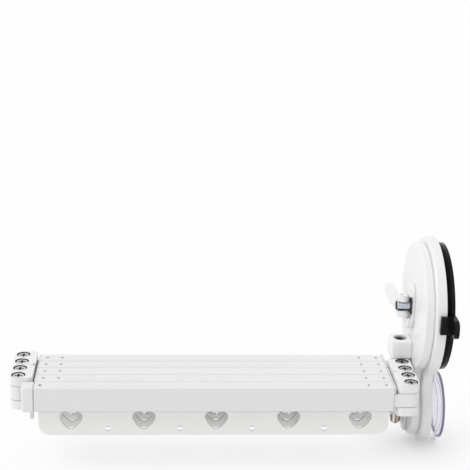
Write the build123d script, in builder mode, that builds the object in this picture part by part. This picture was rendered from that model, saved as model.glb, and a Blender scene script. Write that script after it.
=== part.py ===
from build123d import *
import math
import os

os.makedirs("parts", exist_ok=True)

# All sizes are millimetres. X runs along the rails towards the wall, Z is up.
# The origin is the centre of the main suction cup on the wall plane X = 0.

# Rails, folded side by side
rail_count = 5
rail_length = 309.0
rail_pitch = 15.0
box_width = 14.3
box_height = 22.0
box_wall = 1.4
rail_edge = 0.8
rail_top = -51.0
fin_height = 24.5
fin_thickness = 1.6
fin_inset = 3.0
fin_corner = 10.0
heart_count = 5
heart_start = 30.7
heart_end = 27.9
heart_width = 19.0
heart_height = 17.4
heart_tip_lift = 4.9
heart_tip_radius = 5.2
hook_hole_diameter = 5.0
hook_hole_lift = 6.0

# Hinges
pivot_reach = 14.9
plate_thickness = 8.0
plate_proud = 3.0
plate_drop = 4.5
plate_inner_reach = 12.4
plate_inner_corner = 5.0
plate_side_gap = 0.2
washer_thickness = 0.5
washer_diameter = 9.0
knuckle_radius = 7.2
tongue_width = 13.4
flange_thickness = 1.0
plug_depth = 24.0
screw_diameter = 5.0
screw_head_diameter = 10.6
screw_head_height = 2.4
screw_head_sink = 0.6
screw_head_chamfer = 0.5
screw_head_clearance = 0.75
screw_slot_width = 1.6
screw_slot_length = 6.4
screw_slot_depth = 1.4
nut_across_flats = 8.0
nut_height = 4.0
nut_recess = 1.0
running_clearance = 0.05
fit_clearance = 0.1

# Plug pins on the rail tops
pin_diameter = 2.4
pin_near = 6.4
pin_far_left = 19.4
pin_far_right = 21.9
pin_depth = 7.0
pin_recess = 0.3
end_screw_diameter = 3.2
end_screw_recess = 1.2
end_screw_inset = 4.9

# Free end of the last rail
end_block_length = 10.0
end_groove = 0.9
end_stem_diameter = 3.6
end_stem_drop = 9.2
end_stem_inset = 2.6
end_stem_depth = 5.0
end_stem_edge = 0.6
end_block_corner = 2.4

# Wall mount
disc_radius = 62.0
lobe_radius = 32.0
lobe_drop = 97.0
neck_width = 46.0
neck_fillet = 14.0
rim_back = 8.0
rim_thickness = 9.0
rim_edge = 2.0
boss_height = 8.5
boss_step = 5.0
boss_edge = 1.8
cup_radius = 57.0
cup_lip = 6.0
cup_recess = 4.0
cup_seat_radius = 52.0
cup_hollow_radius = 20.0
cup_edge = 3.0
cup_lip_rise = 2.0
strap_reach = 14.0
strap_thickness = 3.0
strap_gap = 0.4
tab_lift = 5.5
tab_height = 16.0
tab_reach = 24.0
tab_thickness = 4.4
tab_corner = 6.0
small_cup_radius = 30.0
small_cup_proud = 4.0
small_cup_stem = 5.0
small_cup_plug = 9.0
small_cup_root = 12.0
small_cup_shoulder = 24.0
small_cup_wall = 2.1
small_cup_lip = 3.0
small_cup_edge = 1.4
tail_width = 7.0
tail_drop = 5.0
tail_thickness = 1.8

# Swivel between the mount and the first rail
pivot_offset = 9.6
post_half_width = 10.0
post_reach = 9.4
post_corner = 2.5
post_rise = 20.0
post_lift = 4.0
lug_radius = 7.0
lug_bottom = 53.5
post_bore = 12.0
post_bore_depth = 7.0
post_edge = 1.6
bolt_head_diameter = 9.6
cap_nut_diameter = 10.4
cap_nut_height = 10.5
cap_nut_flange = 3.4
cap_nut_step = 0.4
cap_nut_bore = 6.5
cap_washer_diameter = 11.2
cap_washer = 1.0
rib_height = 3.7
rib_width = 16.0
rib_bottom = 68.0

# Cam lever of the main cup
stud_diameter = 8.0
stud_head_radius = 11.0
stud_head_thickness = 1.5
stud_end = 5.5
stud_chamfer = 0.8
hub_height = 5.5
hub_channel = 23.0
hub_channel_depth = 3.5
hub_width = 22.0
hub_length = 42.0
thrust_thickness = 1.2
thrust_width = 14.0
cam_radius = 5.5
cam_offset = 1.5
cam_gap = 0.3
prong_thickness = 6.0
prong_gap = 0.3
pin_size = 3.0
lever_length = 50.0
lever_width = 17.0
lever_thickness = 3.6
lever_lift = 4.5
leaf_start = 6.0
leaf_overlap = 2.0
leaf_root = 1.0

# The neck's straight sides run between the disc and the lobe, and limit the fillets at their ends.
neck_half = neck_width / 2
neck_run = lobe_drop - math.sqrt(disc_radius**2 - neck_half**2) - math.sqrt(lobe_radius**2 - neck_half**2)
neck_round = min(neck_fillet, 0.82 * neck_run)
boss_face = -rim_back - rim_thickness - boss_height
rim_face = -rim_back - rim_thickness
pivot_x = boss_face - pivot_offset
rail_right = pivot_x - pivot_reach
rail_left = rail_right - rail_length
left_pivot_x = rail_left - pivot_reach
box_bottom = rail_top - box_height
fin_bottom = box_bottom - fin_height
plate_top = rail_top + plate_proud
knuckle_top = plate_top - plate_thickness - washer_thickness
hinge_middle = rail_top - box_height / 2
lower_plate_bottom = box_bottom - plate_drop
knuckle_bottom = lower_plate_bottom + plate_thickness + washer_thickness
knuckle_middle = (knuckle_top + knuckle_bottom) / 2
knuckle_height = knuckle_top - knuckle_bottom
plate_length = 2 * rail_pitch - 2 * plate_side_gap
plate_end_reach = rail_pitch / 2 - plate_side_gap
heart_pitch = (rail_length - heart_start - heart_end) / (heart_count - 1)
plug_width = box_width - 2 * box_wall - 2 * fit_clearance
plug_height = box_height - 2 * box_wall - 2 * fit_clearance
hub_face = boss_face - hub_height
thrust_face = hub_face + hub_channel_depth - thrust_thickness
cam_reach = cam_radius + cam_offset
lever_pin_x = thrust_face - cam_gap - cam_reach
rail_ys = [-rail_pitch * index for index in range(rail_count)]
# Each hinge joins a rail to the next one, in order: its name, pivot X and side (1 right, -1 left).
hinges = [
    ("a", left_pivot_x, -1),
    ("b", pivot_x, 1),
    ("c", left_pivot_x, -1),
    ("d", pivot_x, 1),
]

# Wall plate: a moulded keyhole plate with a raised boss, the lever hub and the swivel lugs.
with BuildPart() as wall_plate:
    with BuildSketch(Plane.YZ.offset(rim_face)) as rim_outline:
        Circle(disc_radius)
        with Locations((0, -lobe_drop)):
            Circle(lobe_radius)
        with Locations((0, -lobe_drop / 2)):
            Rectangle(neck_width, lobe_drop)
        neck_corners = rim_outline.vertices().filter_by_position(Axis.Y, -lobe_drop, -disc_radius / 2)
        fillet(neck_corners.filter_by(lambda v: abs(abs(v.X) - neck_half) < 0.5), neck_round)
    extrude(amount=rim_thickness)
    rim_front = wall_plate.edges().filter_by_position(Axis.X, rim_face - 0.01, rim_face + 0.01)
    fillet(rim_front, rim_edge)
    with BuildSketch(Plane.YZ.offset(boss_face)) as boss_outline:
        Circle(disc_radius - boss_step)
        with Locations((0, -lobe_drop)):
            Circle(lobe_radius - boss_step)
        with Locations((0, -lobe_drop / 2)):
            Rectangle(neck_width - 2 * boss_step, lobe_drop)
        inner_corners = boss_outline.vertices().filter_by_position(Axis.Y, -lobe_drop, -disc_radius / 2)
        inner_half = neck_half - boss_step
        fillet(inner_corners.filter_by(lambda v: abs(abs(v.X) - inner_half) < 0.5), neck_round)
    extrude(amount=boss_height + 1.0)
    boss_front = wall_plate.edges().filter_by_position(Axis.X, boss_face - 0.01, boss_face + 0.01)
    fillet(boss_front, boss_edge)
    # Hub under the cam lever
    with BuildSketch(Plane.YZ.offset(hub_face)):
        SlotOverall(hub_length, hub_width, rotation=90)
    extrude(amount=hub_height)
    with Locations((hub_face + hub_channel_depth / 2, 0, 0)):
        Box(hub_channel_depth, hub_width + 2, hub_channel, mode=Mode.SUBTRACT)
    # Upper post and its narrower lug
    post_length = post_reach + pivot_offset + 2
    with BuildSketch(Plane.XY.offset(rail_top + post_lift)) as post_outline:
        with Locations((pivot_x - post_reach + post_length / 2, 0)):
            Rectangle(post_length, 2 * post_half_width)
        fillet(post_outline.vertices().group_by(Axis.X)[0], post_corner)
    extrude(amount=post_rise - post_lift)
    with BuildSketch(Plane.XY.offset(knuckle_top + washer_thickness)):
        with Locations((pivot_x, 0)):
            Circle(lug_radius)
        with Locations((pivot_x + pivot_offset / 2 + 1, 0)):
            Rectangle(pivot_offset + 2, 2 * lug_radius)
    extrude(amount=rail_top + post_lift - knuckle_top - washer_thickness)
    # Lower lug and the rib below it
    with BuildSketch(Plane.XY.offset(rail_top - lug_bottom)):
        with Locations((pivot_x, 0)):
            Circle(lug_radius)
        with Locations((pivot_x + pivot_offset / 2 + 1, 0)):
            Rectangle(pivot_offset + 2, 2 * lug_radius)
    extrude(amount=knuckle_bottom - washer_thickness - rail_top + lug_bottom)
    with Locations((boss_face - rib_height / 2 + 0.5, 0, rail_top - (lug_bottom + rib_bottom) / 2)):
        Box(rib_height + 1, rib_width, rib_bottom - lug_bottom)
    # Post top rounding, then the screw recess and the swivel bore
    post_rim = wall_plate.edges().filter_by_position(
        Axis.Z, rail_top + post_rise - 0.01, rail_top + post_rise + 0.01)
    fillet(post_rim.filter_by_position(Axis.X, pivot_x - 2 * post_reach, boss_face - 0.5), post_edge)
    with Locations((pivot_x, 0, rail_top + post_rise - post_bore_depth / 2)):
        Cylinder(post_bore / 2, post_bore_depth, mode=Mode.SUBTRACT)
    bore_length = post_rise + lug_bottom
    with Locations((pivot_x, 0, rail_top + (post_rise - lug_bottom) / 2)):
        Cylinder(screw_diameter / 2 + running_clearance, bore_length + 2, mode=Mode.SUBTRACT)
    # Recess for the main cup and bores for the pull stud and the small cup
    with BuildSketch(Plane.YZ.offset(-rim_back - cup_recess)):
        Circle(cup_seat_radius + fit_clearance)
    extrude(amount=cup_recess + 1, mode=Mode.SUBTRACT)
    with BuildSketch(Plane.YZ.offset(hub_face - 1)):
        Circle(stud_diameter / 2 + running_clearance)
    extrude(amount=-hub_face, mode=Mode.SUBTRACT)
    with BuildSketch(Plane.YZ.offset(-rim_back - small_cup_plug - 1)):
        with Locations((0, -lobe_drop)):
            Circle(small_cup_stem + fit_clearance)
    extrude(amount=small_cup_plug + 2, mode=Mode.SUBTRACT)
wall_plate.part.label = "wall_plate"
export_step(wall_plate.part, "parts/wall_plate.step")

# Main suction cup: a black rubber dish with a flat lip on the wall and a pull tab.
with BuildPart() as suction_cup:
    with BuildSketch(Plane.XY):
        with BuildLine():
            cup_back = -rim_back - cup_recess
            Polyline(
                (cup_back, stud_diameter / 2 + fit_clearance),
                (cup_back, cup_seat_radius),
                (-rim_back, cup_seat_radius),
                (-cup_edge, cup_radius),
                (0, cup_radius),
                (0, cup_radius - cup_lip),
                (-cup_lip_rise, cup_radius - cup_lip - cup_lip_rise / 2),
                (-rim_back, cup_hollow_radius),
                (-rim_back, stud_diameter / 2 + fit_clearance),
                close=True,
            )
        make_face()
    revolve(axis=Axis.X)
    with Locations((-cup_edge, -cup_radius - tab_reach / 2 + 2, tab_lift)):
        Box(tab_thickness, tab_reach, tab_height)
    tab_corners = suction_cup.edges().filter_by(Axis.X).group_by(Axis.Y)[0]
    fillet(tab_corners, tab_corner)
    # The strap from the tab lies over the plate's rim.
    strap_length = strap_reach - cup_edge + tab_thickness / 2
    strap_y = -disc_radius - strap_gap - strap_thickness / 2
    with Locations((-strap_reach + strap_length / 2, strap_y, tab_lift)):
        Box(strap_length, strap_thickness, tab_height)
suction_cup.part.label = "suction_cup"
export_step(suction_cup.part, "parts/suction_cup.step")

# Small suction cup: clear moulding pressed into the lower lobe, with a short tail.
with BuildPart() as lower_cup:
    small_cup_back = small_cup_proud - small_cup_edge
    with BuildSketch(Plane.XY):
        with BuildLine():
            Polyline(
                (-rim_back - small_cup_plug, 0),
                (-rim_back - small_cup_plug, small_cup_stem),
                (-rim_back, small_cup_stem),
                (-rim_back, small_cup_root),
                (small_cup_back - 2 * small_cup_wall, small_cup_shoulder),
                (small_cup_back, small_cup_radius),
                (small_cup_proud, small_cup_radius),
                (small_cup_proud, small_cup_radius - small_cup_lip),
                (small_cup_back - small_cup_wall, small_cup_shoulder - small_cup_lip),
                (-rim_back + small_cup_wall, small_cup_root),
                (-rim_back + small_cup_wall, 0),
                close=True,
            )
        make_face()
    revolve(axis=Axis.X)
    with Locations((small_cup_proud - tail_thickness / 2, 0, -small_cup_radius - tail_drop / 2 + 0.5)):
        Box(tail_thickness, tail_width, tail_drop + 1)
lower_cup.part.position = (0, 0, -lobe_drop)
lower_cup.part.label = "lower_cup"
export_step(lower_cup.part, "parts/lower_cup.step")

# Swivel bolt through the post, the first rail's knuckle and the lower lug.
with BuildPart() as swivel_bolt:
    bolt_bottom = rail_top - lug_bottom - cap_washer - cap_nut_bore + 2 * fit_clearance
    bolt_seat = rail_top + post_rise - post_bore_depth
    with Locations((pivot_x, 0, (bolt_bottom + bolt_seat) / 2)):
        Cylinder(screw_diameter / 2, bolt_seat - bolt_bottom)
    with Locations((pivot_x, 0, bolt_seat + screw_head_height / 2)):
        Cylinder(bolt_head_diameter / 2, screw_head_height)
    with Locations((pivot_x, 0, bolt_seat + screw_head_height)):
        Box(screw_slot_length, screw_slot_width, 2 * screw_slot_depth, mode=Mode.SUBTRACT)
        Box(screw_slot_width, screw_slot_length, 2 * screw_slot_depth, mode=Mode.SUBTRACT)
swivel_bolt.part.label = "swivel_bolt"
export_step(swivel_bolt.part, "parts/swivel_bolt.step")

# Cap nut with its flat washer under the lower lug.
with BuildPart() as cap_nut:
    nut_top = rail_top - lug_bottom - cap_washer
    dome_radius = cap_nut_diameter / 2 - cap_nut_step
    dome_z = nut_top - cap_nut_height + dome_radius
    with Locations((pivot_x, 0, nut_top - cap_nut_flange / 2)):
        Cylinder(cap_nut_diameter / 2, cap_nut_flange)
    with Locations((pivot_x, 0, (nut_top + dome_z) / 2)):
        Cylinder(dome_radius, nut_top - dome_z)
    with Locations((pivot_x, 0, dome_z)):
        Sphere(dome_radius)
    with Locations((pivot_x, 0, nut_top)):
        Cylinder(screw_diameter / 2 + running_clearance, 2 * cap_nut_bore, mode=Mode.SUBTRACT)
cap_nut.part.label = "cap_nut"
export_step(cap_nut.part, "parts/cap_nut.step")

with BuildPart() as cap_nut_washer:
    with Locations((pivot_x, 0, rail_top - lug_bottom - cap_washer / 2)):
        Cylinder(cap_washer_diameter / 2, cap_washer)
        Cylinder(screw_diameter / 2 + running_clearance, 2 * cap_washer, mode=Mode.SUBTRACT)
cap_nut_washer.part.label = "cap_nut_washer"
export_step(cap_nut_washer.part, "parts/cap_nut_washer.step")

# Thin washers above and below the first rail's knuckle.
with BuildPart() as swivel_washers:
    washer_middle = washer_thickness / 2
    with Locations((pivot_x, 0, knuckle_top + washer_middle), (pivot_x, 0, knuckle_bottom - washer_middle)):
        Cylinder(washer_diameter / 2, washer_thickness)
        Cylinder(screw_diameter / 2 + running_clearance, 2 * washer_thickness, mode=Mode.SUBTRACT)
swivel_washers.part.label = "swivel_washers"
export_step(swivel_washers.part, "parts/swivel_washers.step")

# Thrust plate that the cam bears on.
with BuildPart() as thrust_plate:
    with BuildSketch(Plane.YZ.offset(thrust_face)):
        RectangleRounded(thrust_width, thrust_width, 2.0)
        Circle(stud_diameter / 2 + running_clearance, mode=Mode.SUBTRACT)
    extrude(amount=thrust_thickness)
thrust_plate.part.label = "thrust_plate"
export_step(thrust_plate.part, "parts/thrust_plate.step")

# Pull stud: its head draws the rubber off the wall, its eye carries the lever pin.
with BuildPart() as pull_stud:
    stud_tip = lever_pin_x - stud_end
    with BuildSketch(Plane.YZ.offset(stud_tip)):
        Circle(stud_diameter / 2)
    extrude(amount=-rim_back - stud_tip)
    chamfer(pull_stud.edges().sort_by(Axis.X)[0], stud_chamfer)
    with BuildSketch(Plane.YZ.offset(-rim_back)):
        Circle(stud_head_radius)
    extrude(amount=stud_head_thickness)
    with Locations((lever_pin_x, 0, 0)):
        Cylinder(pin_size / 2 + running_clearance, 2 * stud_diameter, mode=Mode.SUBTRACT)
pull_stud.part.label = "pull_stud"
export_step(pull_stud.part, "parts/pull_stud.step")

with BuildPart() as lever_pin:
    with Locations((lever_pin_x, 0, 0)):
        Cylinder(pin_size / 2, stud_diameter + 2 * prong_thickness + 2 * prong_gap - 4 * fit_clearance)
lever_pin.part.label = "lever_pin"
export_step(lever_pin.part, "parts/lever_pin.step")

# Cam lever: two eccentric prongs round the stud and a curved leaf handle.
with BuildPart() as cam_lever:
    prong_inner = stud_diameter / 2 + prong_gap
    prong_top = prong_inner + prong_thickness
    cam_x = lever_pin_x + cam_offset
    with BuildSketch(Plane.XY.offset(-prong_top)):
        with Locations((cam_x, cam_offset)):
            Circle(cam_radius)
    extrude(amount=2 * prong_top)
    with BuildSketch(Plane.XY.offset(-lever_width / 2)):
        with BuildLine():
            root = (lever_pin_x + leaf_root, cam_reach / 2)
            root_back = (lever_pin_x - lever_thickness + leaf_root, cam_reach / 2)
            middle = (lever_pin_x - lever_lift * 0.25, lever_length * 0.375)
            bend = (lever_pin_x - lever_lift * 0.42, lever_length * 0.67)
            tip = (lever_pin_x - lever_lift, lever_length)
            tip_back = (tip[0] - lever_thickness * 0.6, lever_length - lever_thickness / 6)
            bend_back = (bend[0] - lever_thickness, bend[1])
            middle_back = (middle[0] - lever_thickness, middle[1])
            Spline(root, middle, bend, tip)
            Line(tip, tip_back)
            Spline(tip_back, bend_back, middle_back, root_back)
            Line(root_back, root)
        make_face()
    extrude(amount=lever_width)
    # The leaf outline seen along X rounds the handle and leaves the prongs whole.
    with BuildSketch(Plane.YZ.offset(lever_pin_x - lever_length)):
        with Locations(((lever_length + leaf_start) / 2, 0)):
            Ellipse((lever_length - leaf_start) / 2, lever_width / 2)
        Rectangle(2 * (cam_reach + leaf_overlap), 2 * prong_top)
    extrude(amount=2 * lever_length, mode=Mode.INTERSECT)
    with BuildSketch(Plane.XY.offset(-prong_inner)):
        with Locations((lever_pin_x, 0)):
            Rectangle(4 * cam_reach, 2 * cam_reach)
    extrude(amount=2 * prong_inner, mode=Mode.SUBTRACT)
    with Locations((lever_pin_x, 0, 0)):
        Cylinder(pin_size / 2 + running_clearance, 4 * prong_top, mode=Mode.SUBTRACT)
cam_lever.part.label = "cam_lever"
export_step(cam_lever.part, "parts/cam_lever.step")

# Heart outline with its point at the origin, used for every hole in the fins.
with BuildSketch() as heart:
    half = heart_width / 2
    with BuildLine():
        ThreePointArc(
            (0, 0), (half * 0.53, heart_height * 0.195), (half * 0.9, heart_height * 0.48))
        ThreePointArc(
            (half * 0.9, heart_height * 0.48), (half * 0.72, heart_height * 0.96),
            (0, heart_height * 0.8))
        ThreePointArc(
            (0, heart_height * 0.8), (-half * 0.72, heart_height * 0.96),
            (-half * 0.9, heart_height * 0.48))
        ThreePointArc(
            (-half * 0.9, heart_height * 0.48), (-half * 0.53, heart_height * 0.195), (0, 0))
    make_face()
    fillet(heart.vertices().sort_by(Axis.Y)[0], heart_tip_radius)

# Rails: one extrusion each, a box with a fin below that is pierced with hearts and hook holes.
for index, rail_y in enumerate(rail_ys):
    name = f"rail_{index + 1}"
    rail_middle = (rail_left + rail_right) / 2
    with BuildPart() as rail:
        with Locations((rail_middle, rail_y, rail_top - box_height / 2)):
            Box(rail_length, box_width, box_height)
        long_edges = rail.edges().filter_by(Axis.X)
        fillet(long_edges, rail_edge)
        with Locations((rail_middle, rail_y, rail_top - box_height / 2)):
            Box(
                rail_length, box_width - 2 * box_wall, box_height - 2 * box_wall,
                mode=Mode.SUBTRACT)
        with BuildSketch(Plane.XZ.offset(-rail_y - fin_thickness / 2)) as fin_sketch:
            with Locations((rail_middle, box_bottom - fin_height / 2 + box_wall / 4)):
                Rectangle(rail_length - 2 * fin_inset, fin_height + box_wall / 2)
            fillet(fin_sketch.vertices().group_by(Axis.Y)[0], fin_corner)
        extrude(amount=fin_thickness)
        with BuildSketch(Plane.XZ.offset(-rail_y - fin_thickness)):
            hearts = [(rail_left + heart_start + heart_pitch * n, fin_bottom + heart_tip_lift)
                      for n in range(heart_count)]
            with Locations(*hearts):
                add(heart.sketch)
            hook_holes = [(rail_left + heart_start + heart_pitch * (n - 0.5), fin_bottom + hook_hole_lift)
                          for n in range(1, heart_count)]
            with Locations(*hook_holes):
                Circle(hook_hole_diameter / 2)
        extrude(amount=2 * fin_thickness, mode=Mode.SUBTRACT)
        left_pins = [pin_near, pin_far_left]
        if index == rail_count - 1:
            left_pins = []
        pin_xs = [rail_left + reach for reach in left_pins]
        pin_xs += [rail_right - pin_near, rail_right - pin_far_right]
        with Locations(*[(x, rail_y, rail_top) for x in pin_xs]):
            Cylinder(pin_diameter / 2 + fit_clearance, 2 * pin_depth, mode=Mode.SUBTRACT)
        if index == rail_count - 1:
            with Locations((rail_left + end_screw_inset, rail_y, rail_top)):
                Cylinder(end_screw_diameter / 2 + fit_clearance, 2 * pin_depth, mode=Mode.SUBTRACT)
    rail.part.label = name
    export_step(rail.part, f"parts/{name}.step")

# Hinge plugs: a block inside the rail end, a thin flange and a knuckle on the pivot.
for index, rail_y in enumerate(rail_ys):
    for side, side_name in ((1, "right"), (-1, "left")):
        if index == rail_count - 1 and side == -1:
            continue
        name = f"plug_{index + 1}_{side_name}"
        end_x = rail_right if side == 1 else rail_left
        knuckle_x = pivot_x if side == 1 else left_pivot_x
        with BuildPart() as plug:
            with Locations((end_x - side * plug_depth / 2, rail_y, hinge_middle)):
                Box(plug_depth, plug_width, plug_height)
            with Locations((end_x + side * flange_thickness / 2, rail_y, hinge_middle)):
                Box(flange_thickness, box_width, box_height)
            with Locations(((end_x + knuckle_x) / 2, rail_y, knuckle_middle)):
                Box(pivot_reach, tongue_width, knuckle_height)
            with Locations((knuckle_x, rail_y, knuckle_middle)):
                Cylinder(knuckle_radius, knuckle_height)
                Cylinder(screw_diameter / 2 + running_clearance, 2 * knuckle_height, mode=Mode.SUBTRACT)
            pin_far = pin_far_right if side == 1 else pin_far_left
            pin_spots = [(end_x - side * reach, rail_y, rail_top) for reach in (pin_near, pin_far)]
            with Locations(*pin_spots):
                Cylinder(pin_diameter / 2 + fit_clearance, 2 * pin_depth, mode=Mode.SUBTRACT)
        plug.part.label = name
        export_step(plug.part, f"parts/{name}.step")

# Plug pins: short dowels set just below each rail's top face.
for index, rail_y in enumerate(rail_ys):
    name = f"plug_pins_{index + 1}"
    pin_xs = [rail_right - pin_near, rail_right - pin_far_right]
    if index < rail_count - 1:
        pin_xs += [rail_left + pin_near, rail_left + pin_far_left]
    pin_length = pin_depth - pin_recess
    with BuildPart() as plug_pins:
        with Locations(*[(x, rail_y, rail_top - pin_recess - pin_length / 2) for x in pin_xs]):
            Cylinder(pin_diameter / 2, pin_length)
    plug_pins.part.label = name
    export_step(plug_pins.part, f"parts/{name}.step")

# Free end of the last rail: a block with a plug, a grub screw on top and a stem below.
free_y = rail_ys[-1]
stem_x = rail_left - end_stem_inset
with BuildPart() as end_block:
    with Locations((rail_left - end_groove - end_block_length / 2, free_y, hinge_middle)):
        Box(end_block_length, box_width, box_height)
    fillet(end_block.edges().filter_by(Axis.Z).group_by(Axis.X)[0], end_block_corner)
    fillet(end_block.edges().group_by(Axis.Z)[-1], rail_edge)
    core_length = plug_depth + 2 * end_groove
    with Locations((rail_left + plug_depth - core_length / 2, free_y, hinge_middle)):
        Box(core_length, plug_width, plug_height)
    with Locations((rail_left + end_screw_inset, free_y, rail_top)):
        Cylinder(end_screw_diameter / 2 + fit_clearance, 2 * pin_depth, mode=Mode.SUBTRACT)
    with Locations((stem_x, free_y, box_bottom)):
        Cylinder(end_stem_diameter / 2 + fit_clearance, 2 * end_stem_depth, mode=Mode.SUBTRACT)
end_block.part.label = "end_block"
export_step(end_block.part, "parts/end_block.step")

with BuildPart() as end_screw:
    grub_length = pin_depth - end_screw_recess
    with Locations((rail_left + end_screw_inset, free_y, rail_top - end_screw_recess - grub_length / 2)):
        Cylinder(end_screw_diameter / 2, grub_length)
end_screw.part.label = "end_screw"
export_step(end_screw.part, "parts/end_screw.step")

with BuildPart() as end_stem:
    with Locations((stem_x, free_y, box_bottom + (end_stem_depth - end_stem_drop) / 2)):
        Cylinder(end_stem_diameter / 2, end_stem_depth + end_stem_drop)
    fillet(end_stem.edges().group_by(Axis.Z)[0], end_stem_edge)
end_stem.part.label = "end_stem"
export_step(end_stem.part, "parts/end_stem.step")

# Hinge links: a top and a bottom plate on two screws, with thin washers at each knuckle.
for (letter, link_x, side), *screw_ys in zip(hinges, rail_ys, rail_ys[1:]):
    link_y = sum(screw_ys) / 2
    plate_width = plate_inner_reach + plate_end_reach
    plate_x = link_x + side * (plate_end_reach - plate_inner_reach) / 2
    screw_spots = [(link_x, y) for y in screw_ys]
    for level, level_z in (("top", plate_top - plate_thickness), ("bottom", lower_plate_bottom)):
        name = f"link_{letter}_{level}"
        with BuildPart() as link_plate:
            with BuildSketch(Plane.XY.offset(level_z)) as link_outline:
                with Locations((plate_x, link_y)):
                    Rectangle(plate_width, plate_length)
                # The outer corners are round about the screws, so neighbouring plates turn past each other.
                corners = link_outline.vertices().sort_by(Axis.X)
                fillet(corners[:2], plate_inner_corner if side == 1 else plate_end_reach)
                corners = link_outline.vertices().sort_by(Axis.X)
                fillet(corners[-2:], plate_end_reach if side == 1 else plate_inner_corner)
                with Locations(*screw_spots):
                    Circle(screw_diameter / 2 + running_clearance, mode=Mode.SUBTRACT)
            extrude(amount=plate_thickness)
            if level == "top":
                with Locations(*[(x, y, plate_top - screw_head_height / 2) for x, y in screw_spots]):
                    head_bore = screw_head_diameter / 2 + screw_head_clearance
                    Cylinder(head_bore, screw_head_height, mode=Mode.SUBTRACT)
            else:
                with BuildSketch(Plane.XY.offset(lower_plate_bottom)):
                    with Locations(*screw_spots):
                        RegularPolygon(
                            nut_across_flats / 2 + fit_clearance, 6, major_radius=False)
                extrude(amount=nut_height + nut_recess, mode=Mode.SUBTRACT)
        link_plate.part.label = name
        export_step(link_plate.part, f"parts/{name}.step")
    name = f"link_{letter}_screws"
    with BuildPart() as link_screws:
        shank_bottom = lower_plate_bottom + nut_recess
        shank_top = plate_top - screw_head_height
        with Locations(*[(x, y, (shank_bottom + shank_top) / 2) for x, y in screw_spots]):
            Cylinder(screw_diameter / 2, shank_top - shank_bottom)
        head_top = plate_top - screw_head_sink
        head_height = screw_head_height - screw_head_sink
        with Locations(*[(x, y, head_top - head_height / 2) for x, y in screw_spots]):
            Cylinder(screw_head_diameter / 2, head_height)
        chamfer(link_screws.edges().group_by(Axis.Z)[-1], screw_head_chamfer)
        with Locations(*[(x, y, head_top) for x, y in screw_spots]):
            Box(screw_slot_length, screw_slot_width, 2 * screw_slot_depth, mode=Mode.SUBTRACT)
            Box(screw_slot_width, screw_slot_length, 2 * screw_slot_depth, mode=Mode.SUBTRACT)
    link_screws.part.label = name
    export_step(link_screws.part, f"parts/{name}.step")
    name = f"link_{letter}_nuts"
    with BuildPart() as link_nuts:
        with BuildSketch(Plane.XY.offset(lower_plate_bottom + nut_recess)):
            with Locations(*screw_spots):
                RegularPolygon(nut_across_flats / 2, 6, major_radius=False)
                Circle(screw_diameter / 2 + running_clearance, mode=Mode.SUBTRACT)
        extrude(amount=nut_height)
    link_nuts.part.label = name
    export_step(link_nuts.part, f"parts/{name}.step")
    name = f"link_{letter}_washers"
    washer_spots = [(x, y, knuckle_top + washer_thickness / 2) for x, y in screw_spots]
    washer_spots += [(x, y, knuckle_bottom - washer_thickness / 2) for x, y in screw_spots]
    with BuildPart() as link_washers:
        with Locations(*washer_spots):
            Cylinder(washer_diameter / 2, washer_thickness)
            Cylinder(screw_diameter / 2 + running_clearance, 2 * washer_thickness, mode=Mode.SUBTRACT)
    link_washers.part.label = name
    export_step(link_washers.part, f"parts/{name}.step")
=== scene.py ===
import math

import bpy
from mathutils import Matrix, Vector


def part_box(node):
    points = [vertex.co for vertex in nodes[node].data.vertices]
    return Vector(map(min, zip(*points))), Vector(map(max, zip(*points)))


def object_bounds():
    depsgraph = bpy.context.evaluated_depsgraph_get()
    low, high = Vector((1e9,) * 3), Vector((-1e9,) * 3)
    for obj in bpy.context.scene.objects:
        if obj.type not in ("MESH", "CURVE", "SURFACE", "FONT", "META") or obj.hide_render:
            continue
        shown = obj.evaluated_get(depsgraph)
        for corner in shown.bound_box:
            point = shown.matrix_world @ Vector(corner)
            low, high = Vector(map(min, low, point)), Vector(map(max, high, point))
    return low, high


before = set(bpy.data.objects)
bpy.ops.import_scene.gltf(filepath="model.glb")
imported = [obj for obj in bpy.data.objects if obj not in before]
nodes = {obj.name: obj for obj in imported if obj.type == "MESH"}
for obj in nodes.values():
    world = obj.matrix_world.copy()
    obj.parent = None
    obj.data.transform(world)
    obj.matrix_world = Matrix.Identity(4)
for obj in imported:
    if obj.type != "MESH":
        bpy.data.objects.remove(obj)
cad_low, cad_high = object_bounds()


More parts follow.
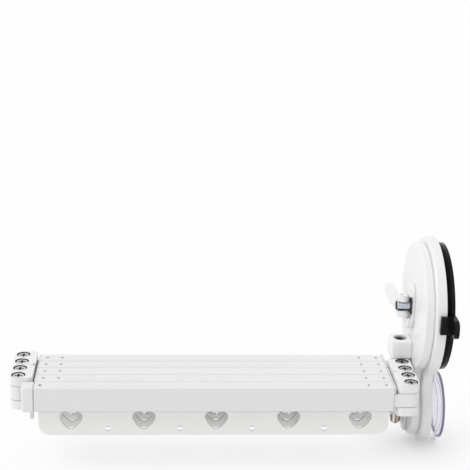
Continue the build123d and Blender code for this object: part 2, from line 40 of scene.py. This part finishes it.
# Wall plate: the keyhole-shaped moulding that carries the lever hub, the swivel post and both cups.
# Injection-moulded white plastic with a satin skin, finely textured by the tool. A grey line of painted
# shade lies in the corners where the disc's step and the hub rise, and the post's bore is painted dark as
# shade.
class Finish:
    """A value in a material's node tree; sums and products of values add their own nodes."""

    def __init__(self, tree, socket=None):
        self.tree = tree
        self.socket = socket

    def node(self, kind, settings=None, sockets=None, output=0):
        made = self.tree.nodes.new(kind)
        for name, value in (settings or {}).items():
            setattr(made, name, value)
        for name, value in (sockets or {}).items():
            if isinstance(value, Finish):
                self.tree.links.new(value.socket, made.inputs[name])
            else:
                made.inputs[name].default_value = value
        return Finish(self.tree, made.outputs[output])

    def sum_node(self, operation, first, second=0.0):
        return self.node("ShaderNodeMath", {"operation": operation}, {0: first, 1: second})

    def __add__(self, other):
        return self.sum_node("ADD", self, other)

    def __radd__(self, other):
        return self.sum_node("ADD", other, self)

    def __sub__(self, other):
        return self.sum_node("SUBTRACT", self, other)

    def __rsub__(self, other):
        return self.sum_node("SUBTRACT", other, self)

    def __mul__(self, other):
        return self.sum_node("MULTIPLY", self, other)

    def __rmul__(self, other):
        return self.sum_node("MULTIPLY", other, self)

    def __pow__(self, power):
        return self.sum_node("POWER", self, power)

    def __lt__(self, other):
        return self.sum_node("LESS_THAN", self, other)

    def __gt__(self, other):
        return self.sum_node("GREATER_THAN", self, other)

    def __abs__(self):
        return self.sum_node("ABSOLUTE", self)

    def __or__(self, other):
        return self.sum_node("MAXIMUM", self, other)

    def __and__(self, other):
        return self.sum_node("MINIMUM", self, other)


def start_finish(name):
    """A new material, its shader, and the place on the piece that its other values start from."""
    material = bpy.data.materials.new(name)
    material.use_nodes = True
    tree = material.node_tree
    place = Finish(tree).node("ShaderNodeTexCoord", output="Object")
    return material, tree.nodes["Principled BSDF"], place


def axis(place, letter):
    return place.node("ShaderNodeSeparateXYZ", None, {"Vector": place}, letter)


def noise(place, scale, detail):
    return place.node("ShaderNodeTexNoise", None, {"Vector": place, "Scale": scale, "Detail": detail})


def ramp(value, start, full):
    """Rises evenly from nought at start to one at full."""
    return value.node("ShaderNodeMapRange", None, {0: value, 1: start, 2: full})


def span(value, low, high):
    """Stretches a value of nought to one over low to high."""
    return value * (high - low) + low


def distance(first, second):
    return (first * first + second * second) ** 0.5


def grey(level):
    return (level, level, level, 1)


def between(share, first, second):
    return share.node("ShaderNodeMix", {"data_type": "RGBA"}, {0: share, 6: first, 7: second}, 2)


def soft_edge(place, radius):
    return place.node("ShaderNodeBevel", {"samples": 6}, {"Radius": radius})


def bump(height, strength, depth, edge=None):
    sockets = {"Height": height, "Strength": strength, "Distance": depth}
    if edge:
        sockets["Normal"] = edge
    return height.node("ShaderNodeBump", None, sockets)


def feed(shader, name, value):
    value.tree.links.new(value.socket, shader.inputs[name])


def dress(name, material):
    """Gives a node its finish, smooth on round faces and sharp at corners."""
    piece = nodes[name]
    piece.data.materials.clear()
    piece.data.materials.append(material)
    piece.data.polygons.foreach_set("use_smooth", [True] * len(piece.data.polygons))
    weld = piece.modifiers.new("weld", "WELD")
    weld.merge_threshold = 0.000005
    split = piece.modifiers.new("sharp_edges", "EDGE_SPLIT")
    split.split_angle = math.radians(32)
    return piece


bolt_low, bolt_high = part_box("swivel_bolt")
swivel = (bolt_low + bolt_high) / 2
rail_low, rail_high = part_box("rail_1")
plate_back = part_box("wall_plate")[1].x
step_root, step_line = plate_back - 0.0097, 0.00065
hub_root, hub_line = plate_back - 0.01805, 0.0005
bore_above_rails, bore_radius = 0.0200, 0.00615
bore_top = rail_high.z + bore_above_rails
bore_start, bore_end = bore_top - 0.0002, bore_top - 0.0072
shade_start, shade_full = bore_top - 0.0006, bore_top - 0.0028
painted_side_light = 0.8
painted_shade_grey = (0.38, 0.38, 0.39, 1)
bore_painted_shade = (0.012, 0.012, 0.013, 1)
plate_plastic, shader, place = start_finish("plate_plastic")
along, across, height = axis(place, "X"), axis(place, "Y"), axis(place, "Z")
mottle = noise(place, scale=38.0, detail=4.0)
grain = noise(place, scale=1500.0, detail=2.0)
white = between(mottle, grey(0.87), grey(0.92))
# Painted shade: a grey line in the corners where the disc's step and the hub rise.
in_corner = (abs(along - step_root) < step_line) | (abs(along - hub_root) < hub_line)
corner_shaded = between(in_corner * span(mottle, 0.25, 0.75), white, painted_shade_grey)
from_swivel = distance(along - swivel.x, across - swivel.y)
# Painted shade: the post's bore is darkened, more deeply further down and less toward its sides in X.
in_bore = (from_swivel < bore_radius) * (height < bore_start) * (height > bore_end)
beside = abs(along - swivel.x) * (1 / bore_radius)
shade = in_bore * ramp(height, shade_start, shade_full) * (1 - beside * beside * painted_side_light)
feed(shader, "Base Color", between(shade, corner_shaded, bore_painted_shade))
feed(shader, "Roughness", span(mottle, 0.27, 0.41))
feed(shader, "Normal", bump(grain, strength=0.06, depth=0.0004, edge=soft_edge(place, 0.0007)))
dress("wall_plate", plate_plastic)

# Main suction cup: a black rubber dish in the back of the plate, with a tab to peel it off.
# Compression-moulded in one piece; the skin is smooth with a faint bloom, whose lighter random patches
# also stand in as painted sheen.
deep_black = (0.002, 0.002, 0.003, 1)
skin_black = (0.008, 0.008, 0.009, 1)
bloom_and_sheen_grey = (0.026, 0.026, 0.028, 1)
rubber_gloss = 0.14
cup_rubber, shader, place = start_finish("cup_rubber")
skin = noise(place, scale=60.0, detail=5.0)
patches = noise(place, scale=24.0, detail=1.0)
# Bloom and painted sheen: lighter patches in random places on the black skin.
bloom_and_sheen = ramp(patches, 0.52, 0.74)
black = between(skin, deep_black, skin_black)
feed(shader, "Base Color", between(bloom_and_sheen, black, bloom_and_sheen_grey))
feed(shader, "Roughness", span(skin, 0.13, 0.27))
shader.inputs["Specular IOR Level"].default_value = rubber_gloss
feed(shader, "Normal", soft_edge(place, 0.0006))
dress("suction_cup", cup_rubber)

# Lower cup: a small clear cup pressed by its stem into the lower lobe, with a tail to lift it.
# Soft clear plastic with a violet tint that deepens at the lip and the shoulder. Its skin is drawn in
# by a hair, after the weld has closed it, so that it stands just off its seat in the plate.
lower_cup_radius = 0.030
cup_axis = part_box("lower_cup")[1].z - lower_cup_radius
lip_start, lip_full, lip_end = 0.0284, 0.0294, 0.0301
shoulder_radius, shoulder_line, shoulder_tint = 0.0238, 0.0004, 0.6
seat_gap = 0.00004
pale_violet = (0.77, 0.73, 1.0, 1)
paler_violet = (0.87, 0.83, 1.0, 1)
deep_violet = (0.07, 0.055, 0.20, 1)
clear_violet, shader, place = start_finish("clear_violet")
flow = noise(place, scale=90.0, detail=2.0)
from_axis = distance(axis(place, "Y"), axis(place, "Z") - cup_axis)
lip = ramp(from_axis, lip_start, lip_full) * (from_axis < lip_end)
shoulder = abs(from_axis - shoulder_radius) < shoulder_line
edge = lip | shoulder * shoulder_tint
clear = between(flow, pale_violet, paler_violet)
feed(shader, "Base Color", between(edge, clear, deep_violet))
feed(shader, "Roughness", span(flow, 0.06, 0.12))
feed(shader, "Alpha", edge * 0.58 + span(flow, 0.20, 0.30))
shader.inputs["IOR"].default_value = 1.42
lower_cup = dress("lower_cup", clear_violet)
off_the_seat = lower_cup.modifiers.new("off_the_seat", "DISPLACE")
off_the_seat.mid_level = 0.0
off_the_seat.strength = -seat_gap
after_weld = lower_cup.modifiers.find("weld") + 1
lower_cup.modifiers.move(lower_cup.modifiers.find("off_the_seat"), after_weld)


# Swivel bolt, its washer and cap nut: they hold the first rail's knuckle between the post and the lug.
# Turned steel, scuffed on the bolt and the washer; the cap nut is browned, with bright vertical streaks
# painted on as reflections.
def wave(place, scale, distortion):
    sockets = {"Vector": place, "Scale": scale, "Distortion": distortion}
    return place.node("ShaderNodeTexWave", {"bands_direction": "X"}, sockets)


dull_steel = (0.30, 0.30, 0.31, 1)
clean_steel = (0.58, 0.58, 0.59, 1)
turned_steel, shader, place = start_finish("turned_steel")
scuff = noise(place, scale=700.0, detail=4.0)
feed(shader, "Base Color", between(scuff, dull_steel, clean_steel))
feed(shader, "Roughness", span(scuff, 0.22, 0.47))
shader.inputs["Metallic"].default_value = 1.0
feed(shader, "Normal", bump(scuff, strength=0.1, depth=0.0002))
for name in ("swivel_bolt", "cap_nut_washer"):
    dress(name, turned_steel)

dark_brown = (0.10, 0.07, 0.06, 1)
mid_brown = (0.30, 0.24, 0.21, 1)
reflection_streak_bronze = (0.80, 0.73, 0.68, 1)
browned_steel, shader, place = start_finish("browned_steel")
stain = noise(place, scale=320.0, detail=5.0)
# Painted reflections: bright vertical streaks across the nut.
painted_reflections = wave(place, scale=80.0, distortion=1.5)
brown = between(stain, dark_brown, mid_brown)
feed(shader, "Base Color", between(painted_reflections, brown, reflection_streak_bronze))
feed(shader, "Roughness", span(stain, 0.08, 0.28))
shader.inputs["Metallic"].default_value = 1.0
dress("cap_nut", browned_steel)

# Knuckle washers: thin discs between each knuckle and the plates or lugs above and below it.
# Punched from white nylon sheet, faintly waxy.
nylon_white = (0.68, 0.68, 0.67, 1)
washer_nylon, shader, place = start_finish("washer_nylon")
wax = noise(place, scale=400.0, detail=2.0)
feed(shader, "Base Color", between(wax, grey(0.55), nylon_white))
feed(shader, "Roughness", span(wax, 0.4, 0.6))
for pivot in ("swivel", "link_a", "link_b", "link_c", "link_d"):
    dress(f"{pivot}_washers", washer_nylon)

# Thrust plate: the hard pad on the hub that the cam bears on.
# Pressed steel with a black finish, rubbed thinner in patches.
full_black = (0.012, 0.012, 0.014, 1)
rubbed_black = (0.05, 0.05, 0.055, 1)
black_plate, shader, place = start_finish("black_plate")
rub = noise(place, scale=500.0, detail=3.0)
feed(shader, "Base Color", between(rub, full_black, rubbed_black))
feed(shader, "Roughness", span(rub, 0.3, 0.55))
dress("thrust_plate", black_plate)

# Pull stud and lever pin: the stud draws the rubber off the wall when the lever is thrown.
# Turned, then polished and chromed, with painted shade and dark reflections below and at the tip; the head
# is moulded over with black rubber.
stud_low, stud_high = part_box("pull_stud")
head_depth, tip_depth = 0.0020, 0.0010
underside_start, underside_full = -0.0018, -0.0026
dull_chrome = (0.38, 0.42, 0.48, 1)
bright_chrome = (0.66, 0.70, 0.76, 1)
painted_dark_chrome = (0.012, 0.015, 0.025, 1)
head_black = (0.006, 0.006, 0.007, 1)
chrome, shader, place = start_finish("chrome")
along, height = axis(place, "X"), axis(place, "Z")
rings = wave(place, scale=260.0, distortion=0.4)
in_rubber = along > stud_high.x - head_depth
# Painted shade and dark reflections: the chrome goes near black on its underside and at the tip.
painted_dark_below_and_tip = ramp(height, underside_start, underside_full) | (along < stud_low.x + tip_depth)
polished = between(rings, dull_chrome, bright_chrome)
plated = between(painted_dark_below_and_tip, polished, painted_dark_chrome)
feed(shader, "Base Color", between(in_rubber, plated, head_black))
feed(shader, "Roughness", span(rings, 0.06, 0.12) + in_rubber * 0.24)
feed(shader, "Metallic", 1 - in_rubber)
shader.inputs["Specular IOR Level"].default_value = rubber_gloss
for name in ("pull_stud", "lever_pin"):
    dress(name, chrome)

# Cam lever: a leaf-shaped handle with two eccentric prongs, thrown by hand to lock the cup.
# Moulded white plastic, glossier than the plate.
lever_plastic, shader, place = start_finish("lever_plastic")
sheen = noise(place, scale=70.0, detail=3.0)
mould_skin = noise(place, scale=1200.0, detail=1.0)
feed(shader, "Base Color", between(sheen, grey(0.86), grey(0.92)))
feed(shader, "Roughness", span(sheen, 0.2, 0.32))
feed(shader, "Normal", bump(mould_skin, strength=0.04, depth=0.0003))
dress("cam_lever", lever_plastic)

# Rails: five equal boxes with a fin below, pierced with hearts and hook holes.
# Extruded aluminium, punched and powder-coated white, with faint die lines along them; grey is painted as
# shade on the cut right end and in the corner above the fin, and the fin is painted lighter than the box
# as light for the shaded space between the fins.
box_height = 0.0221
fin_top = rail_high.z - box_height
cut_edge, root_line, painted_shade_share = 0.0008, 0.0007, 0.55
warm_white = (0.94, 0.935, 0.92, 1)
warmer_white = (0.97, 0.965, 0.95, 1)
rail_shade_grey = (0.34, 0.34, 0.35, 1)
die_stretch = (3.0, 420.0, 420.0)
rail_coat, shader, place = start_finish("rail_coat")
along, height = axis(place, "X"), axis(place, "Z")
drawn_out = place.node("ShaderNodeMapping", None, {"Vector": place, "Scale": die_stretch})
die_lines = noise(drawn_out, scale=1.0, detail=3.0)
peel = noise(place, scale=900.0, detail=1.0)
box_white = between(die_lines, grey(0.82), grey(0.88))
# The fin is painted lighter than the box: painted light for the shaded space between the fins.
fin_white_painted_light = between(die_lines, warm_white, warmer_white)
coat = between(height < fin_top, box_white, fin_white_painted_light)
# Painted shade: grey on the cut right end and in the corner just above the fin.
cut_end = along > rail_high.x - cut_edge
fin_root = abs(height - fin_top) < root_line
feed(shader, "Base Color", between((cut_end | fin_root) * painted_shade_share, coat, rail_shade_grey))
feed(shader, "Roughness", span(peel, 0.3, 0.46))
coat_relief = peel * 0.6 + die_lines * 0.8
feed(shader, "Normal", bump(coat_relief, strength=0.08, depth=0.0003, edge=soft_edge(place, 0.0005)))
for number in range(1, 6):
    dress(f"rail_{number}", rail_coat)

# Hinge plugs: they close the rail ends and carry the knuckles.
# Moulded white plastic, pushed in and pinned through the rail's top; the plug is painted dark as shade in
# the gap beside the rail.
washer_thickness = 0.0005
tongue_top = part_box("link_a_washers")[1].z - washer_thickness
gap_half, gap_skin = 0.00125, 0.0003
plug_plastic, shader, place = start_finish("plug_plastic")
along, height = axis(place, "X"), axis(place, "Z")
cloud = noise(place, scale=110.0, detail=4.0)
white = between(cloud, grey(0.84), grey(0.91))
left_gap = abs(along - (rail_low.x - gap_half)) < gap_half
right_gap = abs(along - (rail_high.x + gap_half)) < gap_half
# Painted shade: the plug goes near black in the gap beside the rail.
shade_in_gap = (abs(height - tongue_top) < gap_skin) * (left_gap | right_gap)
feed(shader, "Base Color", between(shade_in_gap, white, grey(0.10)))
feed(shader, "Roughness", span(cloud, 0.28, 0.42))
feed(shader, "Normal", soft_edge(place, 0.0005))
for number in range(1, 6):
    dress(f"plug_{number}_right", plug_plastic)
    if number < 5:
        dress(f"plug_{number}_left", plug_plastic)

# End block and its screw: the block closes the free end of the last rail and takes the screw and the stem.
# Moulded white plastic like the plugs; the screw has the thrust plate's black finish.
end_plastic, shader, place = start_finish("end_plastic")
cloud = noise(place, scale=120.0, detail=4.0)
feed(shader, "Base Color", between(cloud, grey(0.84), grey(0.90)))
feed(shader, "Roughness", span(cloud, 0.28, 0.42))
feed(shader, "Normal", soft_edge(place, 0.0006))
dress("end_block", end_plastic)
dress("end_screw", black_plate)

# Plug pins and the end stem: short dowels through the rail tops, and the stem under the free end.
# Cut from zinc-plated wire; the pins' plating is dull and dark, the stem's is bright.
pin_grey = (0.34, 0.34, 0.35, 1)
plated_wire, shader, place = start_finish("plated_wire")
plating = noise(place, scale=900.0, detail=3.0)
feed(shader, "Base Color", between(plating, grey(0.13), pin_grey))
feed(shader, "Roughness", span(plating, 0.3, 0.55))
shader.inputs["Metallic"].default_value = 0.9
for number in range(1, 6):
    dress(f"plug_pins_{number}", plated_wire)

dull_zinc = (0.66, 0.66, 0.67, 1)
clean_zinc = (0.84, 0.84, 0.85, 1)
bright_zinc, shader, place = start_finish("bright_zinc")
spangle = noise(place, scale=600.0, detail=3.0)
feed(shader, "Base Color", between(spangle, dull_zinc, clean_zinc))
feed(shader, "Roughness", span(spangle, 0.3, 0.5))
shader.inputs["Metallic"].default_value = 0.5
dress("end_stem", bright_zinc)

# Hinge plates: each hinge is a top and a bottom plate that bridge two knuckles.
# Moulded white plastic, counterbored for the screw heads and recessed for the nuts; the counterbores
# are painted dark brown as shade.
rail_pitch = 0.015
right_screws = swivel.x
left_screws = rail_low.x - (right_screws - rail_high.x)
counterbore_radius, counterbore_half = 0.0062, 0.0015
counterbore_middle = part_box("link_b_top")[1].z - 0.0017
counterbore_shade_brown = (0.035, 0.03, 0.027, 1)
hinge_plastic, shader, place = start_finish("hinge_plastic")
along, across, height = axis(place, "X"), axis(place, "Y"), axis(place, "Z")
cloud = noise(place, scale=95.0, detail=4.0)
white = between(cloud, grey(0.86), grey(0.92))
to_screw = across.sum_node("PINGPONG", across, rail_pitch / 2)
from_row = abs(along - right_screws) & abs(along - left_screws)
in_circle = distance(to_screw, from_row) < counterbore_radius
# Painted shade: dark brown on the counterbore walls and floors around the screw heads.
in_counterbore = in_circle * (abs(height - counterbore_middle) < counterbore_half)
feed(shader, "Base Color", between(in_counterbore, white, counterbore_shade_brown))
feed(shader, "Roughness", span(cloud, 0.26, 0.40))
feed(shader, "Normal", soft_edge(place, 0.0008))
for letter in "abcd":
    for level in ("top", "bottom"):
        dress(f"link_{letter}_{level}", hinge_plastic)

# Hinge screws and nuts: cross-head screws through both plates into nuts below.
# Plated steel, unevenly bright on top of the heads; below the top, in the cross and on the nuts, they are
# painted near black as shade.
head_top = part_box("link_a_screws")[1].z
dark_depth, bright_depth = 0.0009, 0.0004
worn_plating = (0.36, 0.35, 0.34, 1)
clean_plating = (0.86, 0.85, 0.83, 1)
screw_steel, shader, place = start_finish("screw_steel")
turned = noise(place, scale=800.0, detail=4.0)
# Painted shade: everything below the top of the heads goes near black, the cross and the nuts too.
above_painted_shade = ramp(axis(place, "Z"), head_top - dark_depth, head_top - bright_depth)
plated = between(turned, worn_plating, clean_plating)
feed(shader, "Base Color", between(above_painted_shade, grey(0.03), plated))
feed(shader, "Roughness", span(turned, 0.2, 0.4))
shader.inputs["Metallic"].default_value = 1.0
for letter in "abcd":
    dress(f"link_{letter}_screws", screw_steel)
    dress(f"link_{letter}_nuts", screw_steel)


# Studio floor: a wide sheet of pale paper just under the part.
# It is white to the camera, off metal and through the clear cup, and keeps the part's soft shadow.
def background_rays(finish):
    """One for the rays that show the background, nought for those that light the part."""
    seen = finish.node("ShaderNodeLightPath", output="Is Camera Ray")
    mirrored = finish.node("ShaderNodeLightPath", output="Is Glossy Ray")
    passed = finish.node("ShaderNodeLightPath", output="Is Transmission Ray")
    return seen | mirrored | passed


floor_size, floor_middle = 24.0, (0, 4.0, cad_low.z - 0.0005)
wide_shadow, contact_shadow, contact_reach = 0.10, 0.85, 0.05
bpy.ops.mesh.primitive_plane_add(size=floor_size, location=floor_middle)
floor = bpy.context.object
floor.name = "floor"
floor_paper, shader, place = start_finish("floor_paper")
fibre = noise(place, scale=30.0, detail=2.0)
feed(shader, "Base Color", between(fibre, grey(0.93), grey(0.95)))
shader.inputs["Roughness"].default_value = 0.9
paper = Finish(place.tree, shader.outputs["BSDF"])
paper_white = place.node("ShaderNodeEmission", None, {"Color": grey(1.0), "Strength": 1.0})
openness = place.node("ShaderNodeAmbientOcclusion", {"samples": 12}, {"Distance": contact_reach}, 1)
shadow = (1 - openness) * contact_shadow + wide_shadow
share = background_rays(place) * (1 - shadow)
shown = place.node("ShaderNodeMixShader", None, {0: share, 1: paper, 2: paper_white})
feed(floor_paper.node_tree.nodes["Material Output"], "Surface", shown)
floor.data.materials.append(floor_paper)

# Studio light: a broad soft key from the upper left and an even white surround.
# The surround shows as full white and lights the part a little less, so that pale faces don't clip.
surround_light = 0.7
world = bpy.data.worlds.new("surround")
bpy.context.scene.world = world
world.use_nodes = True
back = world.node_tree.nodes["Background"]
back.inputs["Color"].default_value = grey(1.0)
feed(back, "Strength", span(background_rays(Finish(world.node_tree)), surround_light, 1.0))

key = bpy.data.lights.new("key", "SUN")
key.angle = math.radians(28)
key.energy = 1.02
key_lamp = bpy.data.objects.new("key", key)
key_lamp.rotation_euler = (math.radians(8), math.radians(-38), 0)
bpy.context.scene.collection.objects.link(key_lamp)

# Camera: in front of the free rails and above them, at the photograph's angle.
# Its place, turn and lens come from a fit to points measured on the photograph.
camera = bpy.data.cameras.new("camera")
camera.lens = 98.885
camera.sensor_width = 36
camera.clip_start = 0.05
camera_stand = bpy.data.objects.new("camera", camera)
camera_stand.location = (-0.2521, -1.07714, 0.405)
camera_stand.rotation_euler = (math.radians(72.516), math.radians(-1.341), math.radians(-3.019))
bpy.context.scene.collection.objects.link(camera_stand)
bpy.context.scene.camera = camera_stand
bpy.context.scene.view_settings.view_transform = "Standard"
